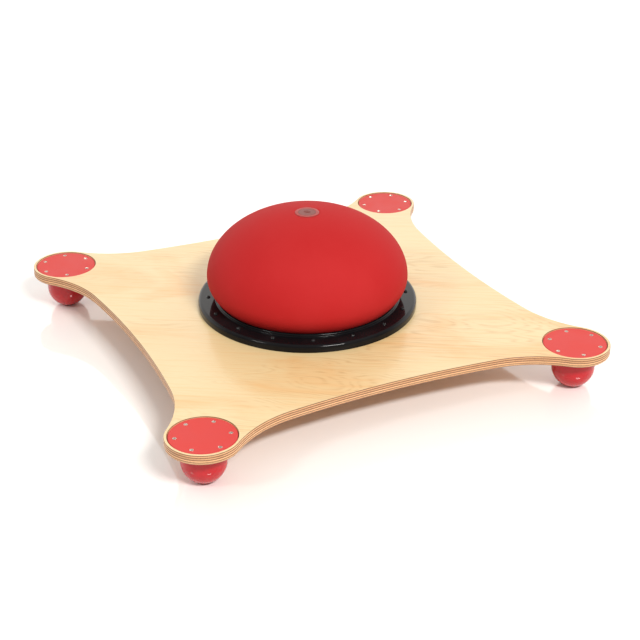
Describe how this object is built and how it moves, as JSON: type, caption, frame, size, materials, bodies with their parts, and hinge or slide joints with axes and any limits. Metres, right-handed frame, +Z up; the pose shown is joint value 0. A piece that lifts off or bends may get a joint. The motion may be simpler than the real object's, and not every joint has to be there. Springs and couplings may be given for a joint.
{
  "type": "balance dome trainer",
  "caption": "Square plywood balance board with hollowed sides, a soft air dome clamped at its middle and a soft ball foot under each corner.",
  "frame": {"origin": "on the floor, under the centre of the board and the dome's axis", "axes": "+Z up along the dome's axis; X and Y run parallel to the lines that join neighbouring feet"},
  "size_m": [0.8, 0.8, 0.2535],
  "materials": {
    "birch_plywood": "clear satin lacquer on pale birch, bare plies at the edge",
    "dome_rubber": "satin, slightly soft red vinyl rubber",
    "foot_rubber": "glossy red rubber",
    "cover_plastic": "fine grained satin red plastic",
    "black_plastic": "glossy black moulded plastic",
    "black_screw": "black coated steel, satin",
    "steel_screw": "zinc plated steel",
    "valve_rubber": "satin, pale translucent red",
    "plug_plastic": "satin grey red"
  },
  "bodies": {
    "board": {"board": "birch_plywood", "base_plate": "black_plastic", "base_plate_screws": "steel_screw", "clamp_ring": "black_plastic", "clamp_ring_screws": "black_screw", "foot_cover_front_left": "cover_plastic", "foot_cover_front_right": "cover_plastic", "foot_cover_rear_left": "cover_plastic", "foot_cover_rear_right": "cover_plastic", "cover_screws_front_left": "steel_screw", "cover_screws_front_right": "steel_screw", "cover_screws_rear_left": "steel_screw", "cover_screws_rear_right": "steel_screw"},
    "dome_crown": {"dome_shell": "dome_rubber", "valve_collar": "valve_rubber"},
    "valve_plug": {"valve_plug": "plug_plastic"},
    "foot_front_left": {"foot_ball_front_left": "foot_rubber"},
    "foot_front_right": {"foot_ball_front_right": "foot_rubber"},
    "foot_rear_left": {"foot_ball_rear_left": "foot_rubber"},
    "foot_rear_right": {"foot_ball_rear_right": "foot_rubber"}
  },
  "joints": [
    {"name": "dome_press", "type": "slide", "parent": "board", "child": "dome_crown", "axis": [0, 0, -1], "range_m": [0, 0.06], "stiffness_N_per_m": 15000, "springref_m": -0.002, "deforming": ["dome_shell"]},
    {"name": "valve_pull", "type": "slide", "parent": "dome_crown", "child": "valve_plug", "axis": [0, 0, 1], "range_m": [0, 0.025]},
    {"name": "foot_press_front_left", "type": "slide", "parent": "board", "child": "foot_front_left", "axis": [0, 0, 1], "range_m": [0, 0.01], "stiffness_N_per_m": 25000, "springref_m": -0.0015, "deforming": ["foot_ball_front_left"]},
    {"name": "foot_press_front_right", "type": "slide", "parent": "board", "child": "foot_front_right", "axis": [0, 0, 1], "range_m": [0, 0.01], "stiffness_N_per_m": 25000, "springref_m": -0.0015, "deforming": ["foot_ball_front_right"]},
    {"name": "foot_press_rear_left", "type": "slide", "parent": "board", "child": "foot_rear_left", "axis": [0, 0, 1], "range_m": [0, 0.01], "stiffness_N_per_m": 25000, "springref_m": -0.0015, "deforming": ["foot_ball_rear_left"]},
    {"name": "foot_press_rear_right", "type": "slide", "parent": "board", "child": "foot_rear_right", "axis": [0, 0, 1], "range_m": [0, 0.01], "stiffness_N_per_m": 25000, "springref_m": -0.0015, "deforming": ["foot_ball_rear_right"]}
  ]
}
